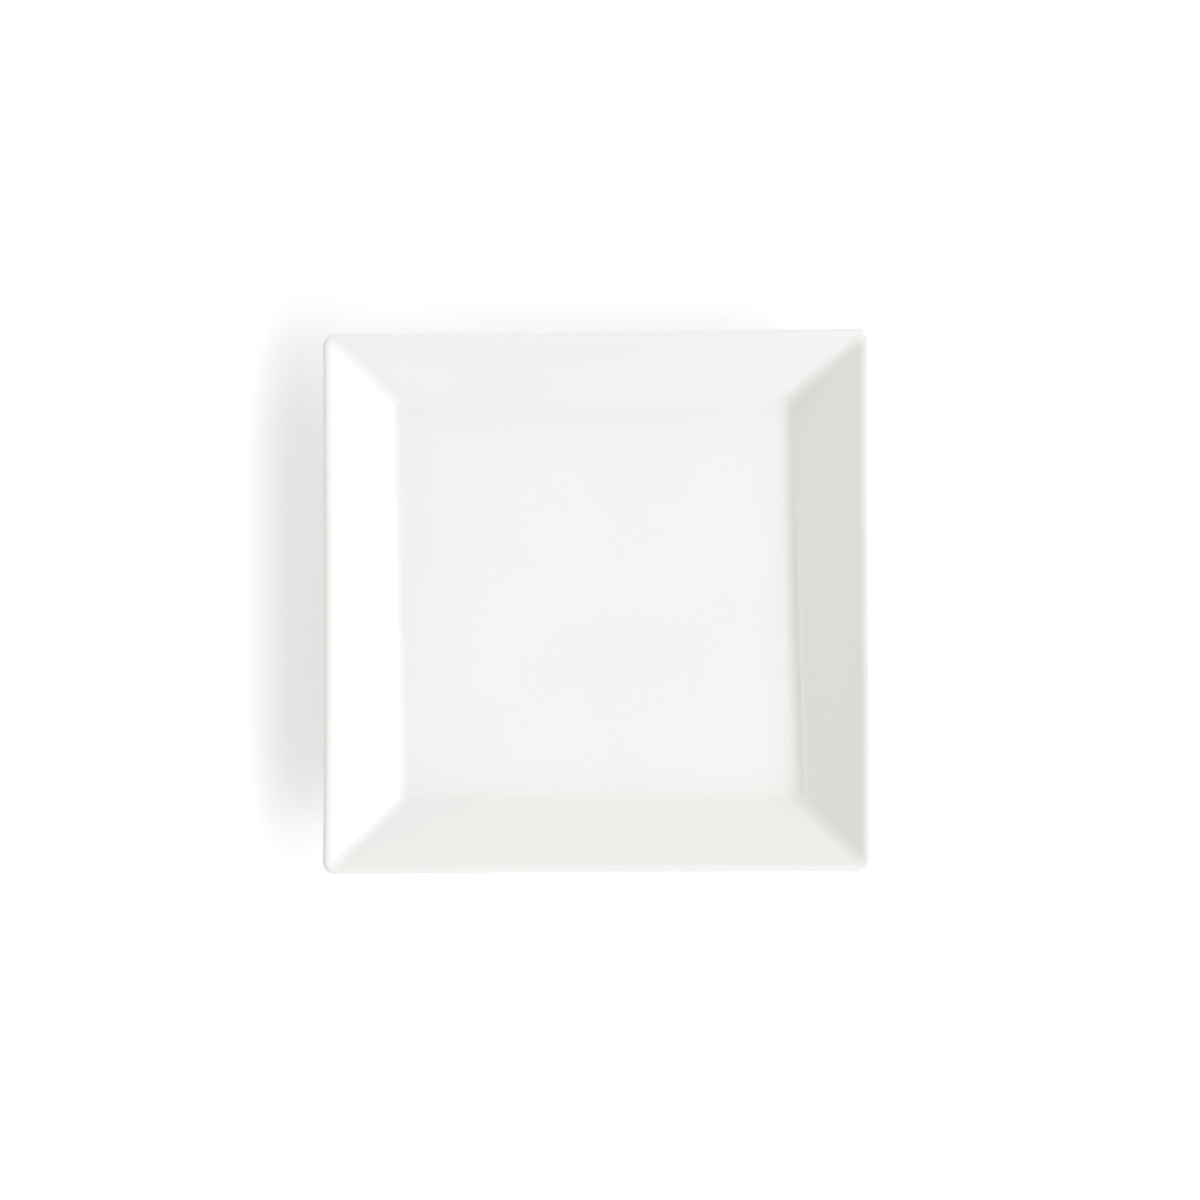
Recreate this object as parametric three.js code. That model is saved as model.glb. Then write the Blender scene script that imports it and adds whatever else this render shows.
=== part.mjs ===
// Square plate of glazed porcelain: a flat well, four sloped walls that meet in soft mitres, a rounded rim
// and a bare foot. Millimetres, +Z up, origin on the table under the middle of the plate.
import * as THREE from "three";
import { mergeGeometries, mergeVertices } from "three/addons/utils/BufferGeometryUtils.js";

// Whole plate, over the glaze
const plateWidth = 210;
const plateHeight = 23;

// Well, walls and rim of the clay body
const wellWidth = 152.8; // across the creases where the floor meets the walls
const wellFillet = 8; // radius of the blend between floor and wall
const floorThickness = 4.2;
const wallThickness = 4.4; // at the bottom of the wall, which thins towards the rim
const rimThickness = 3.8; // of the wall where it reaches the rim
const rimInnerRound = 4.8; // radius from the wall to the top of the rim
const rimOuterRound = 1.1; // radius from there to the upright edge
const rimUnderRound = 1.5; // radius from the upright edge to the outside of the wall

// Foot ring of the clay body
const footHeight = 3; // from the table to the panel under the floor
const footWidth = 3.5; // of the standing face, before its edges are rounded
const footOverhang = 0.8; // how far the foot stands outside the crease of the well
const footDraft = 12; // lean of the foot's sides, in degrees
const footEdgeRound = 0.7;
const footFillet = 1.5; // radius between foot and underside panel
const heelFillet = 2.5; // radius between foot and outer wall

// Corners of the clay body, seen from above
const cornerPower = 2.5; // 2 would make them round; more draws them out and turns them faster in the middle
const wellCornerRadius = 4; // where two walls meet inside, at the well
const mitreRadius = 8.6; // of the mitre that they form above that
const mitreRise = 6; // how far outside the crease the mitre gets that wide
const rimMitreRadius = 5.2; // to which the mitre narrows at the rim
const rimCornerRadius = 5.7; // at the outermost edge of the rim
const footCornerRadius = 7.9; // at the outer edge of the standing face

// Glaze
const glazeThickness = 0.3;
const glazeLine = 1.2; // height above the table at which the glaze on the foot ends

// Fineness of the facets
const facetStep = 0.025; // largest distance between a rounded edge and its facets
const cornerSteps = 6; // facets round each corner of the plan

const samePoint = 1e-4; // points closer than this are one point

// The direction at an angle, in the section's plane of reach (from the centre outwards) and height.
function heading(angle) {
  return new THREE.Vector2(Math.cos(angle), Math.sin(angle));
}

// The side that faces out of the clay for a section walked from the well over the rim to the foot.
function outwards(angle) {
  return heading(angle + Math.PI / 2);
}

// Where two straight lines meet, each given by a point and an angle.
function meeting(pointA, angleA, pointB, angleB) {
  const alongA = heading(angleA);
  const alongB = heading(angleB);
  const distance = pointB.clone().sub(pointA).cross(alongB) / alongA.cross(alongB);
  return pointA.clone().addScaledVector(alongA, distance);
}

// A corner of the section: its point, the radius that rounds it, and the rule that gives, for a reach, the
// centre about which the plan of the plate is rounded there.
function corner(point, radius, turn) {
  return { point, radius, turn };
}

// The clay body's section in three stretches: the shown side from the middle of the well over the rim to the
// glaze line, the bare foot, and the underside from the inner glaze line to the middle.
function bodySection() {
  const crease = new THREE.Vector2(wellWidth / 2, footHeight + floorThickness);
  const rimOuter = new THREE.Vector2(plateWidth / 2 - glazeThickness, plateHeight - glazeThickness);

  // The inner face runs from the crease into the inner round, whose centre lies where both rounds of the rim
  // meet at its top. The outer face starts under that and opens away from it downwards.
  const crown = rimOuter.clone().sub(new THREE.Vector2(rimOuterRound, rimInnerRound));
  const toCrown = crown.clone().sub(crease);
  const innerSlope = toCrown.angle() + Math.asin(rimInnerRound / toCrown.length());
  const rimInner = meeting(crease, innerSlope, rimOuter, 0);
  const thinning = wallThickness - rimThickness;
  const outerSlope = innerSlope + Math.asin(thinning / rimInner.distanceTo(crease));
  const wallUnder = rimInner.clone().addScaledVector(outwards(outerSlope), -rimThickness);
  const rimUnder = meeting(wallUnder, outerSlope, rimOuter, Math.PI / 2);

  // The foot stands under the crease. Its sides lean apart upwards, and the outer one meets the wall at the
  // heel.
  const lean = THREE.MathUtils.degToRad(footDraft);
  const footOuter = new THREE.Vector2(crease.x + footOverhang, 0);
  const footInner = new THREE.Vector2(footOuter.x - footWidth, 0);
  const heel = meeting(wallUnder, outerSlope, footOuter, Math.PI / 2 - lean);
  const outerLine = meeting(new THREE.Vector2(0, glazeLine), 0, footOuter, Math.PI / 2 - lean);
  const innerLine = meeting(new THREE.Vector2(0, glazeLine), 0, footInner, Math.PI / 2 + lean);
  const underCorner = meeting(new THREE.Vector2(0, footHeight), 0, footInner, Math.PI / 2 + lean);

  // The mitre widens above the crease and narrows to the rim, and the foot keeps its width round its corners.
  const footInnerRadius = Math.max(footCornerRadius - footWidth, footEdgeRound);
  const rimTurn = () => rimOuter.x - rimCornerRadius;
  const wellTurn = (reach) => {
    const opening = THREE.MathUtils.smoothstep(reach, crease.x, crease.x + mitreRise);
    const closing = THREE.MathUtils.smoothstep(reach, crease.x + mitreRise, rimOuter.x);
    const mitre = THREE.MathUtils.lerp(mitreRadius, rimMitreRadius, closing);
    return Math.min(reach - THREE.MathUtils.lerp(wellCornerRadius, mitre, opening), rimTurn());
  };
  const footTurn = () => footOuter.x - footCornerRadius;
  const underTurn = (reach) => reach - footInnerRadius;

  return {
    shown: [
      corner(new THREE.Vector2(0, crease.y), 0, wellTurn),
      corner(crease, wellFillet, wellTurn),
      corner(rimInner, rimInnerRound, wellTurn),
      corner(rimOuter, rimOuterRound, rimTurn),
      corner(rimUnder, rimUnderRound, rimTurn),
      corner(heel, heelFillet, footTurn),
      corner(outerLine, 0, footTurn),
    ],
    foot: [
      corner(outerLine, 0, footTurn),
      corner(footOuter, footEdgeRound, footTurn),
      corner(footInner, footEdgeRound, underTurn),
      corner(innerLine, 0, underTurn),
    ],
    under: [
      corner(innerLine, 0, underTurn),
      corner(underCorner, footFillet, underTurn),
      corner(new THREE.Vector2(0, footHeight), 0, underTurn),
    ],
  };
}

// A stretch of the section as stations, with its corners rounded by arcs. Where two arcs would overlap on
// the straight between them, both shrink to share it. A station knows its outward side and its turn centre.
function rounded(corners) {
  const sides = corners.slice(1).map(({ point }, i) => point.clone().sub(corners[i].point));
  const bends = corners.map((_, i) => {
    const open = i === 0 || i === corners.length - 1;
    return open ? 0 : Math.atan2(sides[i - 1].cross(sides[i]), sides[i - 1].dot(sides[i]));
  });
  const wanted = corners.map(({ radius }, i) => radius * Math.tan(Math.abs(bends[i]) / 2));
  const shares = sides.map((side, i) => Math.min(1, side.length() / (wanted[i] + wanted[i + 1])));

  const stations = [];
  const add = (point, normal, turn) => {
    const last = stations.at(-1);
    if (!last || last.point.distanceTo(point) > samePoint) {
      stations.push({ point, normal, turnCentre: turn(point.x) });
    }
  };
  corners.forEach(({ point, radius, turn }, i) => {
    if (bends[i] === 0 || radius === 0) {
      add(point, outwards(sides[Math.max(i - 1, 0)].angle()), turn);
      return;
    }
    const share = Math.min(shares[i - 1], shares[i]);
    const arcRadius = radius * share * Math.sign(bends[i]);
    const start = sides[i - 1].angle();
    const centre = point.clone().addScaledVector(heading(start), -wanted[i] * share);
    centre.addScaledVector(outwards(start), arcRadius);
    const stepAngle = 2 * Math.acos(1 - Math.min(facetStep / Math.abs(arcRadius), 1));
    const steps = Math.ceil(Math.abs(bends[i]) / stepAngle);
    for (let step = 0; step <= steps; step++) {
      const normal = outwards(start + (bends[i] * step) / steps);
      add(centre.clone().addScaledVector(normal, -arcRadius), normal, turn);
    }
  });
  return stations;
}

// The same stations with a coat of glaze over them.
function coated(stations) {
  return stations.map(({ point, normal, turnCentre }) => ({
    point: point.clone().addScaledVector(normal, glazeThickness),
    normal,
    turnCentre,
  }));
}

// A spot on a corner of the plan that has a radius of 1.
function cornerSpot(angle) {
  const { x, y } = heading(angle);
  const fullness = Math.abs(x) ** cornerPower + Math.abs(y) ** cornerPower;
  return new THREE.Vector2(x, y).divideScalar(fullness ** (1 / cornerPower));
}

// The plan of the plate at one station: a square with softened corners, or one point in the middle.
function planRing({ point, turnCentre }) {
  if (point.x < samePoint) return [new THREE.Vector3(0, 0, point.y)];
  const ring = [];
  for (let quarter = 0; quarter < 4; quarter++) {
    const diagonal = ((quarter + 0.5) * Math.PI) / 2;
    const centre = heading(diagonal).multiplyScalar(turnCentre * Math.SQRT2);
    for (let step = 0; step <= cornerSteps; step++) {
      const angle = ((quarter + step / cornerSteps) * Math.PI) / 2;
      const spot = cornerSpot(angle).multiplyScalar(point.x - turnCentre).add(centre);
      ring.push(new THREE.Vector3(spot.x, spot.y, point.y));
    }
  }
  return ring;
}

// A skin lofted through the plans of the stations. Turned over, it faces the other way.
function skin(stations, turnedOver = false) {
  const rings = stations.map(planRing);
  const ringSize = Math.max(...rings.map((ring) => ring.length));
  const starts = rings.map((_, i) => rings.slice(0, i).reduce((sum, ring) => sum + ring.length, 0));
  const at = (i, j) => starts[i] + (j % rings[i].length);
  const faces = [];
  const addFace = (a, b, c) => {
    if (a !== b && b !== c && c !== a) faces.push(...(turnedOver ? [a, c, b] : [a, b, c]));
  };
  for (let i = 0; i + 1 < rings.length; i++) {
    for (let j = 0; j < ringSize; j++) {
      addFace(at(i, j), at(i + 1, j), at(i + 1, j + 1));
      addFace(at(i, j), at(i + 1, j + 1), at(i, j + 1));
    }
  }
  return new THREE.BufferGeometry().setFromPoints(rings.flat()).setIndex(faces);
}

// Skins that meet at their edges, as one closed body.
function closedBody(skins) {
  const geometry = mergeVertices(mergeGeometries(skins), samePoint);
  geometry.computeVertexNormals();
  return geometry;
}

const section = bodySection();
const shown = rounded(section.shown);
const foot = rounded(section.foot);
const under = rounded(section.under);

function porcelainBody() {
  const geometry = closedBody([skin(shown), skin(foot), skin(under)]);
  const biscuit = new THREE.MeshStandardMaterial({ color: 0xe6e2da, roughness: 0.75, metalness: 0 });
  const mesh = new THREE.Mesh(geometry, biscuit);
  mesh.name = "porcelain_body";
  return mesh;
}

// Glaze over a stretch of the body: its own face, the face on the clay, and the edge at the glaze line.
function glazeMesh(name, stations, edge) {
  const geometry = closedBody([skin(coated(stations)), skin(stations, true), skin(edge)]);
  const glaze = new THREE.MeshStandardMaterial({ color: 0xf2f1ef, roughness: 0.12, metalness: 0 });
  const mesh = new THREE.Mesh(geometry, glaze);
  mesh.name = name;
  return mesh;
}

function glazeCoat() {
  const lineOnClay = shown.at(-1);
  const [lineOnGlaze] = coated([lineOnClay]);
  return glazeMesh("glaze_coat", shown, [lineOnGlaze, lineOnClay]);
}

function undersideGlaze() {
  const lineOnClay = under[0];
  const [lineOnGlaze] = coated([lineOnClay]);
  return glazeMesh("underside_glaze", under, [lineOnClay, lineOnGlaze]);
}

const plate = new THREE.Group();
plate.name = "square_plate";
plate.add(porcelainBody(), glazeCoat(), undersideGlaze());

export default plate;
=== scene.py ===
import math

import bpy
from mathutils import Matrix, Vector


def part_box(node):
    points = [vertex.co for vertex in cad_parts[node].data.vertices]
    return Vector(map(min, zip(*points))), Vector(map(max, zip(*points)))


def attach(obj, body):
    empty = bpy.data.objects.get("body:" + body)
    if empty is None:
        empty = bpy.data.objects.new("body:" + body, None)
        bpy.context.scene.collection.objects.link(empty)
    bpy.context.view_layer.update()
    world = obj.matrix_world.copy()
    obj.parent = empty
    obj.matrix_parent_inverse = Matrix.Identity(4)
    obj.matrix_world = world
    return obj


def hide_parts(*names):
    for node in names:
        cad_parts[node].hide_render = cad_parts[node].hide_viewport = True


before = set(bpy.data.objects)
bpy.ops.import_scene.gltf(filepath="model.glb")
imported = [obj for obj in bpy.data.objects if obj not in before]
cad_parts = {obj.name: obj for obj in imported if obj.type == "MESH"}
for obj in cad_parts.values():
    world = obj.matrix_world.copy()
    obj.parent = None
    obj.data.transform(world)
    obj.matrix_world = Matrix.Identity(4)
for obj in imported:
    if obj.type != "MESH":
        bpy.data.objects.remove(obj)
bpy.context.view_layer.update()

mm = 0.001  # everything is in metres
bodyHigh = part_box("porcelain_body")[1]
glazeLow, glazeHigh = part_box("glaze_coat")
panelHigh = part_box("underside_glaze")[1]
print("frame: CAD nodes", sorted(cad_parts))


class Wire:
    # an output socket in a node tree; sums on it add Math or Vector Math nodes
    def __init__(self, tree, socket=None):
        self.tree = tree
        self.socket = socket

    # a new node: its type, its settings, then the values or links of its sockets
    def node(self, kind, settings=None, sockets=None, output=0):
        made = self.tree.nodes.new(kind)
        for name, value in (settings or {}).items():
            setattr(made, name, value)
        for name, value in (sockets or {}).items():
            if isinstance(value, Wire):
                self.tree.links.new(value.socket, made.inputs[name])
            else:
                made.inputs[name].default_value = value
        return Wire(self.tree, made.outputs[output] if len(made.outputs) else None)

    def other(self, output):  # another output of the same node
        return Wire(self.tree, self.socket.node.outputs[output])

    def part(self, axis):  # one component of a vector
        return self.node("ShaderNodeSeparateXYZ", {}, {0: self}, axis)

    def isVector(self):
        return self.socket.type == "VECTOR"

    def maths(self, operation, *values):
        if not any(isinstance(v, Vector) or isinstance(v, Wire) and v.isVector() for v in values):
            return self.node("ShaderNodeMath", {"operation": operation}, dict(enumerate(values)))
        whole = [Vector((v, v, v)) if isinstance(v, (int, float)) else v for v in values]
        return self.node("ShaderNodeVectorMath", {"operation": operation}, dict(enumerate(whole)))

    def __add__(self, other):
        return self.maths("ADD", self, other)

    def __radd__(self, other):
        return self.maths("ADD", other, self)

    def __sub__(self, other):
        return self.maths("SUBTRACT", self, other)

    def __rsub__(self, other):
        return self.maths("SUBTRACT", other, self)

    def __mul__(self, other):
        return self.maths("MULTIPLY", self, other)

    def __rmul__(self, other):
        return self.maths("MULTIPLY", other, self)

    def __truediv__(self, other):
        return self.maths("DIVIDE", self, other)

    def __rtruediv__(self, other):
        return self.maths("DIVIDE", other, self)

    def __mod__(self, other):
        return self.maths("MODULO", self, other)

    def power(self, other):
        return self.maths("POWER", self, other)

    def size(self):
        return self.maths("ABSOLUTE", self)

    def least(self, other):
        return self.maths("MINIMUM", self, other)

    def most(self, other):
        return self.maths("MAXIMUM", self, other)

    def smooth(self, low, high):  # 0 below low, 1 above high
        settings = {"interpolation_type": "SMOOTHSTEP"}
        return self.node("ShaderNodeMapRange", settings, {"Value": self, "From Min": low, "From Max": high})


# Section of the plate, in the plane of reach (from the middle outwards) and height

clay = {
    "rimReach": bodyHigh.x,
    "rimTop": bodyHigh.z,
    "footHeight": panelHigh.z,  # the panel under the floor
    "wellReach": 76.4 * mm,  # the crease where the floor meets the wall
    "wellFillet": 8 * mm,
    "floorThickness": 4.2 * mm,
    "wallThickness": 4.4 * mm,  # at its bottom
    "rimThickness": 3.8 * mm,  # of the wall where it reaches the rim
    "rimInnerRound": 4.8 * mm,  # from the wall to the top of the rim
    "rimOuterRound": 1.1 * mm,  # from there to the outer edge
    "rimUnderRound": 1.5 * mm,
    "footWidth": 3.5 * mm,
    "footOverhang": 0.8 * mm,  # outside the crease
    "footDraft": math.radians(12),
    "footEdgeRound": 0.7 * mm,
    "footFillet": 1.5 * mm,
    "heelFillet": 2.5 * mm,
    "cornerPower": 2.5,  # of the corners in plan; 2 would make them round
    "wellCornerRadius": 4 * mm,  # at the crease
    "mitreRise": 6 * mm,  # how far outside the crease
    "mitreRadius": 8.6 * mm,  # the mitre of two walls gets this wide
    "mitreRun": 10 * mm,  # keeps so for this far
    "rimMitreRadius": 3.4 * mm,  # and narrows to this at the rim
    "rimCornerRadius": 5.7 * mm,
    "footCornerRadius": 7.9 * mm,
    "facet": 0.0015 * mm,  # largest distance between an arc and its chords
    "straight": 3 * mm,  # longest step on a straight
    "fine": 0.25 * mm,  # step across the roll in the glaze
    "samePoint": 0.0001 * mm,  # points nearer than this are one
}

glaze = {
    "thickness": glazeHigh.z - bodyHigh.z,
    "line": glazeLow.z + (glazeHigh.z - bodyHigh.z) * math.sin(clay["footDraft"]),  # where it ends on the foot
    "poolDepth": 0.15,  # extra share of the thickness in the fillets
    "poolSpread": 1.0,  # of a pool, in lengths of its fillet
    "rollHeight": 0.13 * mm,  # of the fine roll beside the crease at +X, where the glaze ran together
    "rollSpread": 0.5 * mm,
    "rollSpan": 3,  # its half width, in spreads
    "rollReach": clay["wellReach"] + 3.4 * mm,
    "rollFacing": (0.6, 1.0),  # starts and is full where the wall faces +X by this much
    "rollFade": (0.2, 0.7),  # and runs out here on its way to +Y, in shares of the well
    "beadSwell": 0.35,  # extra share of the thickness beside the glaze line
    "beadReach": 0.9 * mm,
}


def mixed(low, high, share):
    return low + (high - low) * share


def smooth(share):
    share = min(1, max(0, share))
    return share * share * (3 - 2 * share)


def heading(angle):
    return Vector((math.cos(angle), math.sin(angle)))


def outwards(angle):  # out of the clay, for a section walked from the well over the rim to the foot
    return heading(angle + math.pi / 2)


def angleOf(step):
    return math.atan2(step.y, step.x)


def meeting(pointA, angleA, pointB, angleB):
    alongA, alongB = heading(angleA), heading(angleB)
    return pointA + alongA * ((pointB - pointA).cross(alongB) / alongA.cross(alongB))


# corners of the section as (point, rounding radius, rule for the centre of the plan's corners at a reach)
def claySection():
    upright = math.pi / 2
    crease = Vector((clay["wellReach"], clay["footHeight"] + clay["floorThickness"]))
    rimOuter = Vector((clay["rimReach"], clay["rimTop"]))
    crown = rimOuter - Vector((clay["rimOuterRound"], clay["rimInnerRound"]))  # centre of the inner round
    innerSlope = angleOf(crown - crease) + math.asin(clay["rimInnerRound"] / (crown - crease).length)
    rimInner = meeting(crease, innerSlope, rimOuter, 0)
    thinning = clay["wallThickness"] - clay["rimThickness"]
    outerSlope = innerSlope + math.asin(thinning / (rimInner - crease).length)
    wallUnder = rimInner - outwards(outerSlope) * clay["rimThickness"]
    rimUnder = meeting(wallUnder, outerSlope, rimOuter, upright)
    footOuter = Vector((clay["wellReach"] + clay["footOverhang"], 0))
    footInner = footOuter - Vector((clay["footWidth"], 0))
    outerSide, innerSide = upright - clay["footDraft"], upright + clay["footDraft"]
    heel = meeting(wallUnder, outerSlope, footOuter, outerSide)
    outerLine = meeting(Vector((0, glaze["line"])), 0, footOuter, outerSide)
    innerLine = meeting(Vector((0, glaze["line"])), 0, footInner, innerSide)
    underCorner = meeting(Vector((0, clay["footHeight"])), 0, footInner, innerSide)
    footInnerRadius = max(clay["footCornerRadius"] - clay["footWidth"], clay["footEdgeRound"])

    def rimTurn(reach):
        return clay["rimReach"] - clay["rimCornerRadius"]

    def wellTurn(reach):
        widest = crease.x + clay["mitreRise"] + clay["mitreRun"]
        opening = smooth((reach - crease.x) / clay["mitreRise"])
        closing = smooth((reach - widest) / (rimOuter.x - widest))
        mitre = mixed(clay["mitreRadius"], clay["rimMitreRadius"], closing)
        return max(0, min(reach - mixed(clay["wellCornerRadius"], mitre, opening), rimTurn(reach)))

    def footTurn(reach):
        return footOuter.x - clay["footCornerRadius"]

    def underTurn(reach):
        return max(0, reach - footInnerRadius)

    shown = [
        (Vector((0, crease.y)), 0, wellTurn),
        (crease, clay["wellFillet"], wellTurn),
        (rimInner, clay["rimInnerRound"], wellTurn),
        (rimOuter, clay["rimOuterRound"], rimTurn),
        (rimUnder, clay["rimUnderRound"], rimTurn),
        (heel, clay["heelFillet"], footTurn),
        (outerLine, 0, footTurn),
    ]
    foot = [
        (outerLine, 0, footTurn),
        (footOuter, clay["footEdgeRound"], footTurn),
        (footInner, clay["footEdgeRound"], underTurn),
        (innerLine, 0, underTurn),
    ]
    under = [
        (innerLine, 0, underTurn),
        (underCorner, clay["footFillet"], underTurn),
        (Vector((0, clay["footHeight"])), 0, underTurn),
    ]
    return shown, foot, under


class Station:
    # one place on the section: where it is, the side that faces out, the centre of the plan's corners there
    def __init__(self, point, normal, turn, pool=0):
        self.point = point
        self.normal = normal
        self.turn = turn
        self.pool = pool  # how much glaze gathers here, 0 to 1; the finish also paints crease shade there
        self.lip = max(0, 1 - max(0, normal.x)) if normal.y > 0 else 0  # 1 up to the top of the rim, 0 outside
        self.roll = 0  # height of the roll

    def between(self, other, share):
        point = self.point.lerp(other.point, share)
        normal = self.normal.lerp(other.normal, share).normalized()
        return Station(point, normal, mixed(self.turn, other.turn, share))

    def lifted(self, distance):
        return Station(self.point + self.normal * distance, self.normal, self.turn, self.pool)

    def stride(self):  # longest step from here along a straight
        if self.normal.x > 0:
            return clay["straight"]
        away = abs(self.point.x - glaze["rollReach"]) - glaze["rollSpan"] * glaze["rollSpread"]
        return min(clay["straight"], max(clay["fine"], away))


# stations along a stretch: arcs at its corners, which share a short straight, and steps on the straights
def rounded(corners):
    sides = [b[0] - a[0] for a, b in zip(corners, corners[1:])]
    bends = [math.atan2(a.cross(b), a.dot(b)) for a, b in zip(sides, sides[1:])]
    bends = [0, *bends, 0]
    wanted = [radius * math.tan(abs(bend) / 2) for (_, radius, _), bend in zip(corners, bends)]
    needed = [max(a + b, clay["samePoint"]) for a, b in zip(wanted, wanted[1:])]
    shares = [min(1, side.length / need) for side, need in zip(sides, needed)]
    stations, pools = [], []
    for i, (point, radius, turn) in enumerate(corners):
        if radius == 0:
            side = sides[max(i - 1, 0)]
            stations.append(Station(point, outwards(angleOf(side)), turn(point.x)))
            continue
        share = min(shares[i - 1], shares[i])
        arcRadius = math.copysign(radius * share, bends[i])
        start = angleOf(sides[i - 1])
        centre = point - heading(start) * wanted[i] * share + outwards(start) * arcRadius
        stepAngle = 2 * math.acos(1 - clay["facet"] / abs(arcRadius))
        steps = math.ceil(abs(bends[i]) / stepAngle)
        for step in range(steps + 1):
            normal = outwards(start + bends[i] * step / steps)
            spot = centre - normal * arcRadius
            stations.append(Station(spot, normal, turn(spot.x)))
        if arcRadius > 0:  # hollow, so glaze gathers there
            middle = centre - outwards(start + bends[i] / 2) * arcRadius
            pools.append((middle, abs(bends[i] * arcRadius) * glaze["poolSpread"]))
    return withPools(stepped(stations), pools)


def stepped(stations):
    fine = [stations[0]]
    for a, b in zip(stations, stations[1:]):
        gap = (b.point - a.point).length
        if gap < clay["samePoint"]:
            continue
        walked = a.stride()
        while walked < gap - clay["fine"] / 2:
            fine.append(a.between(b, walked / gap))
            walked += fine[-1].stride()
        fine.append(b)
    return fine


def withPools(stations, pools):
    for station in stations:
        for middle, spread in pools:
            station.pool = max(station.pool, smooth(1 - (station.point - middle).length / spread))
    return stations


# the face of the glaze over a stretch; it runs out in a small bead at the glaze line, its end 0 or -1
def glazed(stations, lineEnd):
    walked = 0
    coat = []
    ordered = stations if lineEnd == 0 else stations[::-1]
    for last, station in zip([ordered[0], *ordered], ordered):
        walked += (station.point - last.point).length
        ending = 1 - min(1, walked / glaze["thickness"])
        bead = max(0, 1 - abs(walked / glaze["beadReach"] * 2 - 1)) * glaze["beadSwell"]
        share = math.sqrt(1 - ending * ending) * (1 + bead + station.pool * glaze["poolDepth"])
        coat.append(station.lifted(glaze["thickness"] * share))
        if station.normal.x < 0:
            away = (station.point.x - glaze["rollReach"]) / glaze["rollSpread"]
            coat[-1].roll = glaze["rollHeight"] * math.exp(-away * away / 2)
    return coat if lineEnd == 0 else coat[::-1]


shownCorners, footCorners, underCorners = claySection()
shownClay = rounded(shownCorners)
footClay = rounded(footCorners)
underClay = rounded(underCorners)
shownGlaze = glazed(shownClay, -1)
underGlaze = glazed(underClay, 0)
print("section: stations", len(shownClay), len(footClay), len(underClay))


# Shape: a section turned round a square plan with rounded corners, a little out of true as it left the kiln

plan = {
    "ringSteps": 256,
    "ringCore": 0.5,  # half side of the square that the ring's corners turn about; the ring's is 1
    "ringCornerSteps": 32,
    "weld": 0.001 * mm,
    "wellReach": clay["wellReach"],
    "footReach": clay["wellReach"] + clay["footOverhang"],
    "rimReach": clay["rimReach"],
    "waveHeight": 0.25 * mm,  # how far the rim rises and falls
    "waveScale": 1.4,
    "seed": 3,
    "lipShift": (0.3 * mm, -0.1 * mm, 0),  # of the top of the rim against its outer edge
    "sag": 0.8 * mm,  # of the floor between its creases
    "mitreEase": (0, 0, 0, 0.2),  # extra share of the radius, for each corner as below
}

# out of true, in plan: corners anticlockwise from +X +Y, sides anticlockwise from +X as (bow, skew)
outOfTrue = {
    "Well": {
        "corners": [(-1.0, 0.4), (-0.5, 0.2), (0.65, -1.2), (1.3, -0.6)],
        "sides": [(-0.95, -0.5), (-0.9, -0.7), (0.15, -0.5), (0.7, 0.7)],
    },
    "Rim": {
        "corners": [(1.55, 0.1), (1.05, -0.35), (-1.5, -0.1), (1.2, -0.6)],
        "sides": [(-0.1, -0.6), (-0.9, -0.55), (-0.55, -0.3), (-0.6, -0.15)],
    },
}
cornerSigns = [(1, 1), (-1, 1), (-1, -1), (1, -1)]
sideHeadings = [(1, 0), (0, 1), (-1, 0), (0, -1)]


# a value that is given at the four corners of a square of half side 1, anywhere between them
def amongCorners(place, values):
    across, along = place.part("X"), place.part("Y")
    total = None
    for value, (signX, signY) in zip(values, cornerSigns):
        term = (across * signX + 1) * (along * signY + 1) * 0.25 * value
        total = term if total is None else total + term
    return total


# how far one level of the plate is pulled out of true at a spot in plan
def pullField(inputs, level, spot, reach):
    place = (spot / reach).least(1.0).most(-1.0)
    across, along = place.part("X"), place.part("Y")
    pull = amongCorners(place, [inputs[f"{level} Corner {i + 1}"] for i in range(4)])
    for i, (sideX, sideY) in enumerate(sideHeadings):
        nearness = (across * sideX + along * sideY).most(0.0)
        slide = along * sideX - across * sideY
        side = inputs[f"{level} Side {i + 1}"]
        bow = side.part("X") + side.part("Y") * slide
        pull = pull + nearness * nearness * (1 - slide * slide) * bow * Vector((sideX, sideY, 0))
    return pull


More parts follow.
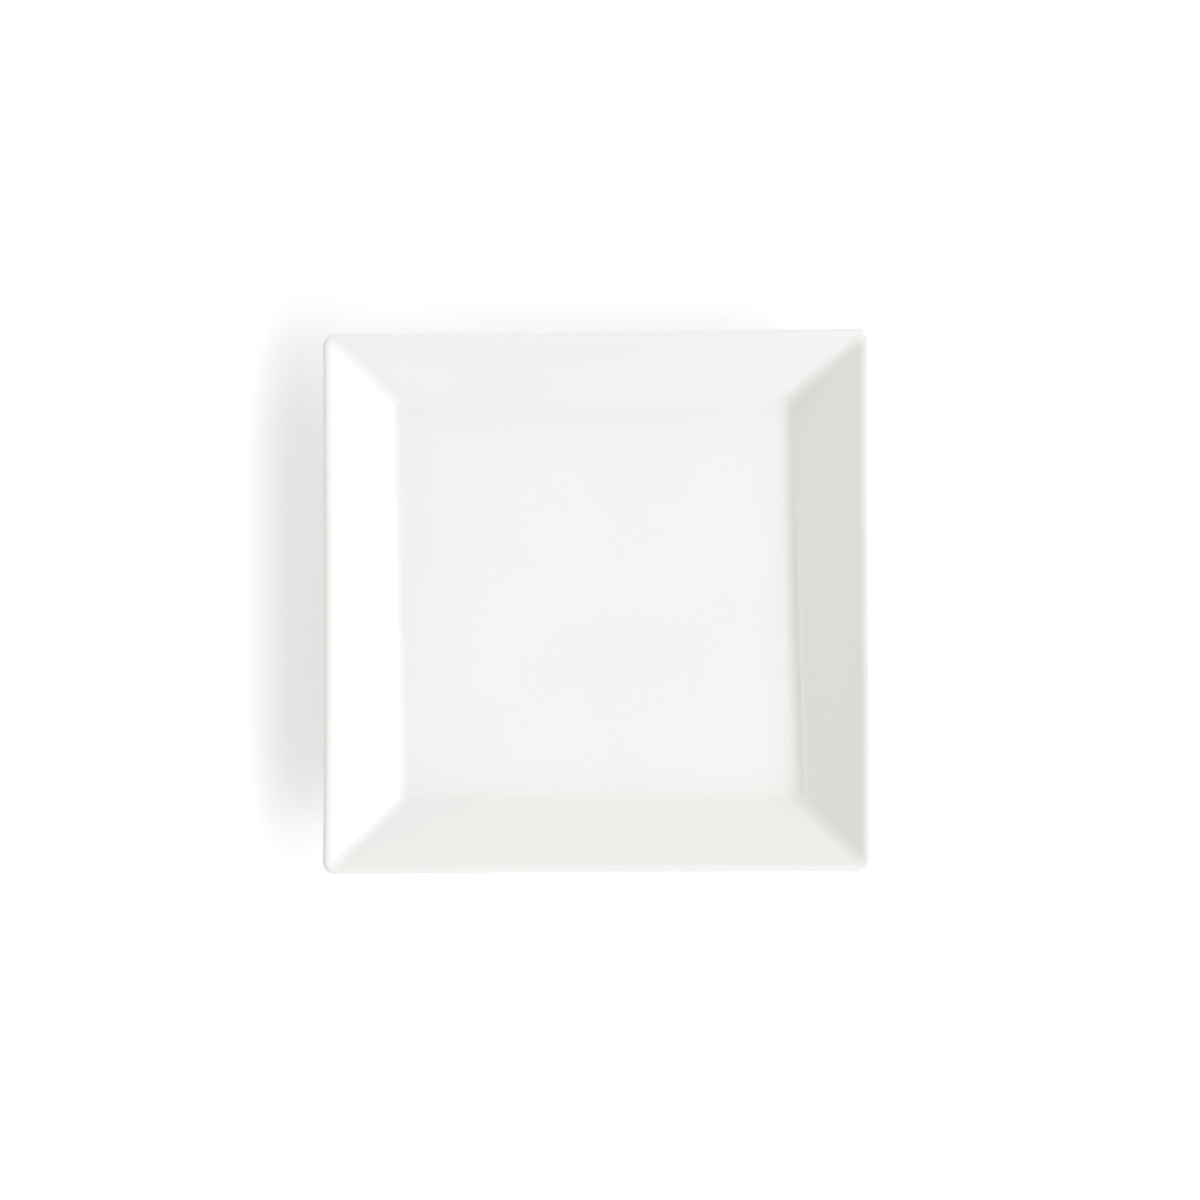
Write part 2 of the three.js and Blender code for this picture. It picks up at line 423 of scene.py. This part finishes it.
def squareLathe():
    tree = bpy.data.node_groups.new("squareLathe", "GeometryNodeTree")
    tree.is_modifier = True
    sockets = {"Section": "Geometry", "Finish": "Material", "Ring Steps": "Int", "Well Reach": "Float",
               "Foot Reach": "Float", "Rim Reach": "Float", "Wave Height": "Float", "Wave Scale": "Float",
               "Seed": "Float", "Lip Shift": "Vector", "Corner Power": "Float", "Sag": "Float"}
    for i in range(4):
        sockets[f"Mitre Ease {i + 1}"] = "Float"
        for level in outOfTrue:
            sockets[f"{level} Corner {i + 1}"] = "Vector"
            sockets[f"{level} Side {i + 1}"] = "Vector"
    identifiers = {}
    for name, kind in sockets.items():
        made = tree.interface.new_socket(name, in_out="INPUT", socket_type="NodeSocket" + kind)
        identifiers[name] = made.identifier
    tree.interface.new_socket("Piece", in_out="OUTPUT", socket_type="NodeSocketGeometry")

    start = Wire(tree)
    entry = start.node("NodeGroupInput")
    inputs = {name: entry.other(name) for name in sockets}

    # a square of half side 1 with rounded corners, as evenly spaced points
    square = start.node("GeometryNodeCurvePrimitiveQuadrilateral", {}, {"Width": 2.0, "Height": 2.0})
    eased = start.node("GeometryNodeFilletCurve", {"mode": "POLY"}, {
        0: square, "Count": plan["ringCornerSteps"], "Radius": 1 - plan["ringCore"]})
    ring = start.node("GeometryNodeResampleCurve", {}, {0: eased, "Count": inputs["Ring Steps"]})

    # one row of points for each station, one column for each ring point and one more to close the ring
    stationCount = start.node("GeometryNodeAttributeDomainSize", {}, {0: inputs["Section"]})
    columns = inputs["Ring Steps"] + 1
    grid = start.node("GeometryNodeMeshGrid", {}, {"Vertices X": stationCount, "Vertices Y": columns})
    index = start.node("GeometryNodeInputIndex")
    row = start.node("ShaderNodeMath", {"operation": "FLOOR"}, {0: index / columns})
    column = index % columns % inputs["Ring Steps"]

    def sampled(source, field, at, kind):
        settings = {"data_type": kind, "domain": "POINT"}
        return start.node("GeometryNodeSampleIndex", settings, {
            "Geometry": source, "Value": field, "Index": at})

    def stationValue(name):
        field = start.node("GeometryNodeInputNamedAttribute", {"data_type": "FLOAT"}, {"Name": name})
        return sampled(inputs["Section"], field, row, "FLOAT")

    position = start.node("GeometryNodeInputPosition")
    station = sampled(inputs["Section"], position, row, "FLOAT_VECTOR")
    ringPoint = sampled(ring, position, column, "FLOAT_VECTOR")
    reach, height = station.part("X"), station.part("Z")
    turn = stationValue("turn")
    lip = stationValue("lip")
    sway = reach.smooth(inputs["Foot Reach"], inputs["Rim Reach"])  # the foot stays flat

    # the ring's rounded corners become corners about the turn centre, with what is left as their radius
    core = ringPoint.least(plan["ringCore"]).most(-plan["ringCore"])
    corner = core * (1 / plan["ringCore"])
    ease = amongCorners(corner, [inputs[f"Mitre Ease {i + 1}"] for i in range(4)])
    turn = (turn - (reach - turn) * ease * lip * (1 - sway)).most(0.0)
    facing = start.node("ShaderNodeVectorMath", {"operation": "NORMALIZE"}, {0: ringPoint - core})
    power = inputs["Corner Power"]
    fullness = (facing.part("X").size().power(power) + facing.part("Y").size().power(power)).power(1 / power)
    spot = turn * corner + (reach - turn) * facing / fullness

    wellPull = pullField(inputs, "Well", spot, inputs["Well Reach"])
    rimPull = pullField(inputs, "Rim", spot, inputs["Rim Reach"])
    place = (spot / inputs["Well Reach"]).least(1.0).most(-1.0)
    hollow = 1 - place * place
    dip = hollow.part("X") * hollow.part("Y")
    noise = start.node("ShaderNodeTexNoise", {"noise_dimensions": "4D"}, {
        "Vector": spot / inputs["Rim Reach"], "W": inputs["Seed"], "Scale": inputs["Wave Scale"],
        "Detail": 1.0})
    wave = (noise - 0.5) * 2.0 * inputs["Wave Height"] * sway
    pulled = spot + wellPull * (1 - sway) + (rimPull + inputs["Lip Shift"] * lip) * sway
    rollStart = facing.part("X").smooth(*glaze["rollFacing"])
    rollEnd = 1 - place.part("Y").smooth(*glaze["rollFade"])
    roll = stationValue("roll") * rollStart * rollEnd
    sag = dip * dip * inputs["Sag"]
    raised = start.node("ShaderNodeCombineXYZ", {}, {
        "X": pulled.part("X"), "Y": pulled.part("Y"), "Z": height + wave + roll - sag})
    skin = start.node("GeometryNodeSetPosition", {}, {"Geometry": grid, "Position": raised})

    skin = start.node("GeometryNodeStoreNamedAttribute", {"data_type": "FLOAT", "domain": "POINT"}, {
        "Geometry": skin, "Name": "pool", "Value": stationValue("pool")})  # where glaze gathers, for the finish, which also paints crease shade there
    closed = start.node("GeometryNodeMergeByDistance", {}, {"Geometry": skin, "Distance": plan["weld"]})
    even = start.node("GeometryNodeSetShadeSmooth", {}, {"Geometry": closed, "Shade Smooth": True})
    whole = start.node("GeometryNodeRealizeInstances", {}, {"Geometry": even})
    dressed = start.node("GeometryNodeSetMaterial", {}, {"Geometry": whole, "Material": inputs["Finish"]})
    start.node("NodeGroupOutput", {}, {"Piece": dressed})
    return tree, identifiers


latheTree, latheSockets = squareLathe()


def turned(name, stations, finish):
    section = bpy.data.meshes.new(name + "Section")
    points = [(s.point.x, 0, s.point.y) for s in stations]
    section.from_pydata(points, [(i, i + 1) for i in range(len(points) - 1)], [])
    for what in ("turn", "pool", "lip", "roll"):
        values = section.attributes.new(what, "FLOAT", "POINT")
        values.data.foreach_set("value", [getattr(s, what) for s in stations])
    piece = bpy.data.objects.new(name, section)
    bpy.context.scene.collection.objects.link(piece)
    lathe = piece.modifiers.new("squareLathe", "NODES")
    lathe.node_group = latheTree
    settings = {"Finish": finish, "Ring Steps": plan["ringSteps"], "Well Reach": plan["wellReach"],
                "Foot Reach": plan["footReach"], "Rim Reach": plan["rimReach"],
                "Wave Height": plan["waveHeight"], "Wave Scale": plan["waveScale"], "Seed": float(plan["seed"]),
                "Lip Shift": plan["lipShift"], "Corner Power": clay["cornerPower"], "Sag": plan["sag"]}
    for i, share in enumerate(plan["mitreEase"]):
        settings[f"Mitre Ease {i + 1}"] = float(share)
        for level, pulls in outOfTrue.items():
            settings[f"{level} Corner {i + 1}"] = [*(v * mm for v in pulls["corners"][i]), 0.0]
            settings[f"{level} Side {i + 1}"] = [*(v * mm for v in pulls["sides"][i]), 0.0]
    for socket, value in settings.items():
        lathe[latheSockets[socket]] = value
    depsgraph = bpy.context.evaluated_depsgraph_get()
    whole = bpy.data.meshes.new_from_object(
        piece.evaluated_get(depsgraph), preserve_all_data_layers=True, depsgraph=depsgraph)
    piece.modifiers.remove(lathe)
    piece.data = whole
    bpy.data.meshes.remove(section)
    whole.name = name
    triangles = sum(len(face.vertices) - 2 for face in whole.polygons)
    print("piece:", name, triangles, "triangles")
    return piece


# Finishes

def newFinish(name):
    finish = bpy.data.materials.new(name)
    finish.use_nodes = True
    finish.node_tree.nodes.clear()
    return finish, Wire(finish.node_tree)


def tint(start, share, colourA, colourB):
    sockets = {"Factor": share, 6: colourA, 7: colourB}  # 6 and 7 are A and B of the colour mix, 2 its result
    return start.node("ShaderNodeMix", {"data_type": "RGBA"}, sockets, 2)


def mottle(place, scale, detail):
    return place.node("ShaderNodeTexNoise", {}, {"Vector": place, "Scale": scale, "Detail": detail})


glazeLook = {
    "clear": (0.880, 0.872, 0.857, 1),  # over the flats
    "thin": (0.872, 0.864, 0.849, 1),  # where the coat came out a little thinner
    "poolShade": (0.878, 0.869, 0.852, 1),  # where it gathers in the creases, a little darker as painted crease shade
    "speck": (0.62, 0.58, 0.52, 1),
    "cloudScale": 16,  # per metre
    "cloudEdges": (0.35, 0.65),
    "speckScale": 45,
    "speckShare": 0.06,  # of the cells that hold a speck
    "speckSize": 0.16 * mm,
    "speckHeart": 0.4,  # share of its size that has its full colour
    "speckStrength": 0.5,
    "rippleScale": 110,
    "rippleHeight": 0.006 * mm,
    "peelScale": 900,
    "peelHeight": 0.0006 * mm,
    "rough": 0.06,
    "rougher": 0.07,
    "ior": 1.5,
}


def whiteGlaze():
    finish, start = newFinish("whiteGlaze")
    look = glazeLook
    place = start.node("ShaderNodeTexCoord", {}, {}, "Object")
    cloud = mottle(place, look["cloudScale"], 3.0)
    pool = start.node("ShaderNodeAttribute", {"attribute_name": "pool"}, {}, "Fac")
    cells = start.node("ShaderNodeTexVoronoi", {}, {"Vector": place, "Scale": look["speckScale"]})
    chance = start.node("ShaderNodeSeparateColor", {}, {"Color": cells.other("Color")})
    speckEdge = look["speckSize"] * look["speckScale"]
    small = 1 - cells.other("Distance").smooth(speckEdge * look["speckHeart"], speckEdge)
    held = start.node("ShaderNodeMath", {"operation": "LESS_THAN"}, {0: chance, 1: look["speckShare"]})
    base = tint(start, cloud.smooth(*look["cloudEdges"]), look["clear"], look["thin"])
    # painted shade in the creases, darker where the glaze gathers
    base = tint(start, pool, base, look["poolShade"])
    base = tint(start, small * held * look["speckStrength"], base, look["speck"])
    ripple = mottle(place, look["rippleScale"], 1.0)
    peel = mottle(place, look["peelScale"], 2.0)
    height = ripple * look["rippleHeight"] + peel * look["peelHeight"]
    normal = start.node("ShaderNodeBump", {}, {"Height": height, "Distance": 1.0})
    shader = start.node("ShaderNodeBsdfPrincipled", {}, {
        "Base Color": base, "Roughness": cloud * look["rougher"] + look["rough"], "IOR": look["ior"],
        "Normal": normal})
    start.node("ShaderNodeOutputMaterial", {}, {"Surface": shader})
    return finish


clayLook = {
    "pale": (0.80, 0.775, 0.72, 1),
    "warm": (0.74, 0.70, 0.63, 1),
    "dust": (0.60, 0.56, 0.50, 1),
    "cloudScale": 70,
    "cloudEdges": (0.3, 0.7),
    "grainScale": 2600,
    "dustEdges": (0.62, 0.8),
    "dustStrength": 0.5,
    "grainHeight": 0.02 * mm,
    "rough": 0.7,
    "rougher": 0.2,
}


def bareClay():
    finish, start = newFinish("barePorcelain")
    look = clayLook
    place = start.node("ShaderNodeTexCoord", {}, {}, "Object")
    cloud = mottle(place, look["cloudScale"], 4.0)
    grain = mottle(place, look["grainScale"], 3.0)
    base = tint(start, cloud.smooth(*look["cloudEdges"]), look["pale"], look["warm"])
    base = tint(start, grain.smooth(*look["dustEdges"]) * look["dustStrength"], base, look["dust"])
    normal = start.node("ShaderNodeBump", {}, {"Height": grain * look["grainHeight"], "Distance": 1.0})
    shader = start.node("ShaderNodeBsdfPrincipled", {}, {
        "Base Color": base, "Roughness": grain * look["rougher"] + look["rough"], "Normal": normal})
    start.node("ShaderNodeOutputMaterial", {}, {"Surface": shader})
    return finish


# Pieces

glazeFinish = whiteGlaze()
clayFinish = bareClay()
glazedDish = turned("glazedDish", shownGlaze + shownClay[::-1], glazeFinish)
panelGlaze = turned("panelGlaze", underClay[::-1] + underGlaze, glazeFinish)
bareBody = turned("bareBody", shownClay + footClay + underClay, clayFinish)

for piece, node, slot in (
    (glazedDish, "glaze_coat", "white_glaze"),
    (panelGlaze, "underside_glaze", "white_glaze"),
    (bareBody, "porcelain_body", "bare_porcelain"),
):
    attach(piece, "root")
    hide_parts(node)


# Stage: a white table, soft lamps round it, strongest at the right, and an even sky

table = {
    "side": 8.0,
    "tint": (0.890, 0.893, 0.908, 1),
    "glow": 0.235,  # shown only to the camera, reflections and clear glass
    "farGlow": 0.75,  # far from the plate, where the lamps give less
    "nearReach": 0.25,
    "farReach": 1.2,
}


def shownRays(start):
    path = start.node("ShaderNodeLightPath")
    return path.most(path.other("Is Glossy Ray")).most(path.other("Is Transmission Ray"))


def whiteTable():
    finish, start = newFinish("whiteTable")
    place = start.node("ShaderNodeTexCoord", {}, {}, "Object")
    far = start.node("ShaderNodeVectorMath", {"operation": "LENGTH"}, {0: place}, "Value")
    farShare = far.smooth(table["nearReach"], table["farReach"])
    glow = farShare * (table["farGlow"] - table["glow"]) + table["glow"]
    matt = start.node("ShaderNodeBsdfDiffuse", {}, {"Color": table["tint"]})
    light = start.node("ShaderNodeEmission", {}, {"Color": glow, "Strength": shownRays(start)})
    both = start.node("ShaderNodeAddShader", {}, {0: matt, 1: light})
    start.node("ShaderNodeOutputMaterial", {}, {"Surface": both})
    half = table["side"] / 2
    top = bpy.data.meshes.new("table")
    corners = [(-half, -half, 0), (half, -half, 0), (half, half, 0), (-half, half, 0)]
    top.from_pydata(corners, [], [(0, 1, 2, 3)])
    top.materials.append(finish)
    stage = bpy.data.objects.new("table", top)
    bpy.context.scene.collection.objects.link(stage)


sky = {"light": 0.45, "shown": 1.0}


def evenSky():
    world = bpy.data.worlds.new("evenSky")
    world.use_nodes = True
    world.node_tree.nodes.clear()
    start = Wire(world.node_tree)
    strength = shownRays(start) * (sky["shown"] - sky["light"]) + sky["light"]
    shader = start.node("ShaderNodeBackground", {}, {"Color": (1, 1, 1, 1), "Strength": strength})
    start.node("ShaderNodeOutputWorld", {}, {"Surface": shader})
    bpy.context.scene.world = world


# soft lamps: turn from +X towards +Y and elevation in degrees, width and height in metres, watts, hue
lampDistance = 4.0
keyTint = (0.970, 0.972, 1)
fillTint = (1, 0.984, 0.77)
lamps = {
    "key": (-6, 34, 4.0, 1.5, 52, keyTint),
    "keyHigh": (-4, 48, 2.6, 1.6, 14, keyTint),
    "keyNear": (-52, 28, 2.4, 1.8, 64, keyTint),
    "keyFar": (40, 25, 2.2, 1.6, 32, keyTint),
    "farLow": (110, 28, 2.9, 1.9, 20, keyTint),
    "fillLow": (140, 12, 2.0, 1.0, 14, fillTint),
    "fillLeft": (180, 22, 3.8, 1.3, 12, fillTint),
    "fillHigh": (165, 50, 2.6, 1.6, 6, fillTint),
    "fillBack": (205, 25, 1.8, 1.5, 3.7, fillTint),
}
mirrored = {"key"}  # lamps that show in the glaze; the others would glare in low views


def softLamp(name, turn, elevation, width, height, watts, hue):
    light = bpy.data.lights.new(name, "AREA")
    light.shape = "RECTANGLE"
    light.size = width
    light.size_y = height
    light.energy = watts
    light.color = hue
    turn, elevation = math.radians(turn), math.radians(elevation)
    level = math.cos(elevation)
    towards = Vector((level * math.cos(turn), level * math.sin(turn), math.sin(elevation)))
    lamp = bpy.data.objects.new(name, light)
    lamp.location = towards * lampDistance
    lamp.visible_glossy = name in mirrored
    lamp.rotation_euler = towards.to_track_quat("Z", "Y").to_euler()
    bpy.context.scene.collection.objects.link(lamp)


whiteTable()
evenSky()
for name, spec in lamps.items():
    softLamp(name, *spec)
print("stage: table, sky and lamps")


# Camera, set from the photograph

photo = {
    "side": 1200,  # pixels
    "plateCentre": (595.0, 602.4),  # where the middle of the rim's plane falls
    "plateSpan": 543.6,  # pixels across the rim
    "distance": 2.2,
    "tiltRight": math.radians(0.4),  # how far the camera stands off the plumb line
    "tiltUp": math.radians(4.4),
    "roll": math.radians(0.45),  # anticlockwise turn of the plate in the picture
    "sensor": 36,
}


def photoCamera():
    view = bpy.data.cameras.new("photoCamera")
    camera = bpy.data.objects.new("photoCamera", view)
    back = Vector((math.sin(photo["tiltRight"]), math.sin(photo["tiltUp"]), 1))
    back.z = math.sqrt(1 - back.x ** 2 - back.y ** 2)
    right = Vector((0, 1, 0)).cross(back).normalized()
    axes = Matrix((right, back.cross(right), back)).transposed()
    axes = axes @ Matrix.Rotation(-photo["roll"], 3, "Z")
    pixel = (glazeHigh.x - glazeLow.x) / photo["plateSpan"]
    middle, (plateX, plateY) = photo["side"] / 2, photo["plateCentre"]
    aside = Vector((middle - plateX, plateY - middle, 0))
    rimMiddle = Vector((0, 0, clay["rimTop"] - clay["rimOuterRound"]))
    view.sensor_width = photo["sensor"]
    view.lens = photo["sensor"] * photo["distance"] / (pixel * photo["side"])
    camera.rotation_euler = axes.to_euler()
    camera.location = rimMiddle + axes @ (aside * pixel) + back * photo["distance"]
    bpy.context.scene.collection.objects.link(camera)
    bpy.context.scene.camera = camera


photoCamera()
bpy.context.scene.view_settings.view_transform = "Standard"
print("camera: set")
